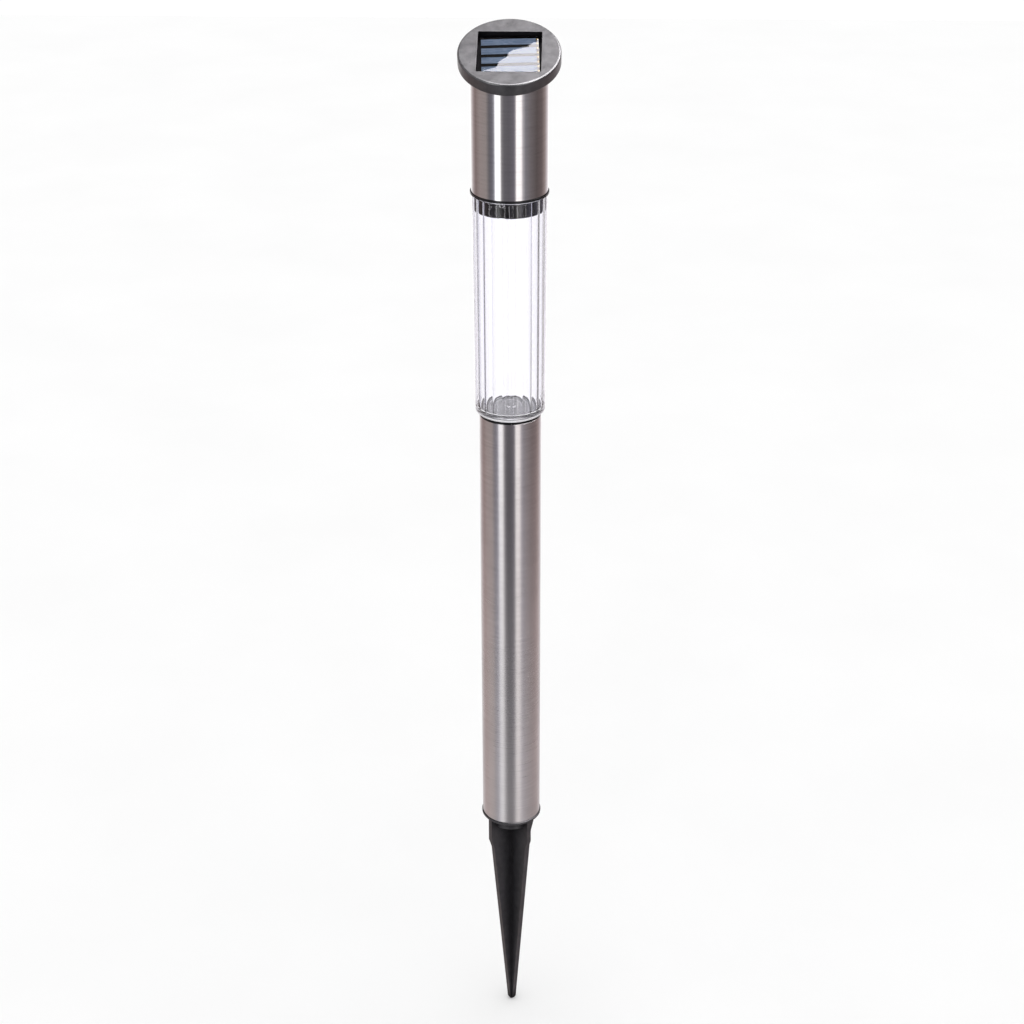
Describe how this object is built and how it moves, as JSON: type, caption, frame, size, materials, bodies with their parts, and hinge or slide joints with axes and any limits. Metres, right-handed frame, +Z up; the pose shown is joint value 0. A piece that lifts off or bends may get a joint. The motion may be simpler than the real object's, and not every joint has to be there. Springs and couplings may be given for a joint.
{
  "type": "solar garden light",
  "caption": "Slim solar path light: steel pole on a ground spike, clear fluted lens and a lamp head with a tilted solar cap.",
  "frame": {"origin": "centre of the spike flange's underside, at ground level, on the pole's axis", "axes": "+Z up along the pole, -Y towards the side that the tilted solar cap faces, +X to the right of a viewer on that side"},
  "size_m": [0.059, 0.0564, 0.6863],
  "materials": {
    "black_spike": "satin, fine moulded texture",
    "pole_steel": "fine circumferential brushing",
    "black_rim": "satin",
    "clear_lens": "clear, polished",
    "seal_rubber": "soft matt",
    "head_steel": "fine circumferential brushing",
    "housing_black": "satin",
    "plate_black": "satin",
    "screw_steel": "bright zinc",
    "board_green": "solder mask",
    "led_clear": "clear epoxy",
    "tinned_metal": "tinned",
    "inductor_green": "dipped coating",
    "chip_black": "moulded epoxy",
    "switch_metal": "pressed shell",
    "slider_black": "satin",
    "battery_sleeve": "shrink sleeve",
    "spring_steel": "drawn wire",
    "contact_metal": "plated strip",
    "wire_red": "insulation",
    "cap_black": "fine spark-eroded texture",
    "backing_dark": "board",
    "cell_blue": "silicon",
    "finger_gold": "plated pads",
    "clear_resin": "poured resin",
    "wire_black": "insulation"
  },
  "bodies": {
    "stake": {"ground_spike": "black_spike"},
    "pole": {"pole_tube": "pole_steel", "pole_coupling": "black_rim"},
    "lens_body": {"lens": "clear_lens"},
    "seal": {"head_seal": "seal_rubber"},
    "head": {"head_tube": "head_steel", "lamp_housing": "housing_black", "lamp_plate": "plate_black", "plate_screws": "screw_steel", "circuit_board": "board_green", "led": "led_clear", "led_legs": "tinned_metal", "inductor": "inductor_green", "driver_chip": "chip_black", "switch_body": "switch_metal", "battery": "battery_sleeve", "battery_spring": "spring_steel", "battery_contact": "contact_metal", "battery_wire": "wire_red", "solar_cap": "cap_black", "panel_backing": "backing_dark", "cell_strips": "cell_blue", "cell_fingers": "finger_gold", "panel_resin": "clear_resin", "panel_wire_red": "wire_red", "panel_wire_black": "wire_black"},
    "switch_knob": {"switch_slider": "slider_black"}
  },
  "joints": [
    {"name": "pole_lift", "type": "slide", "parent": "stake", "child": "pole", "axis": [0, 0, 1], "range_m": [0, 0.04]},
    {"name": "lens_turn", "type": "hinge", "parent": "pole", "child": "lens_body", "pos_m": [0, 0, 0.3], "axis": [0, 0, 1], "continuous": true},
    {"name": "head_lift", "type": "slide", "parent": "lens_body", "child": "seal", "axis": [0, 0, 1], "range_m": [0, 0.012]},
    {"name": "head_twist", "type": "hinge", "parent": "seal", "child": "head", "pos_m": [0, 0, 0.4319], "axis": [0, 0, 1], "range_deg": [0, 20]},
    {"name": "switch_slide", "type": "slide", "parent": "head", "child": "switch_knob", "axis": [1, 0, 0], "range_m": [0, 0.002]}
  ]
}
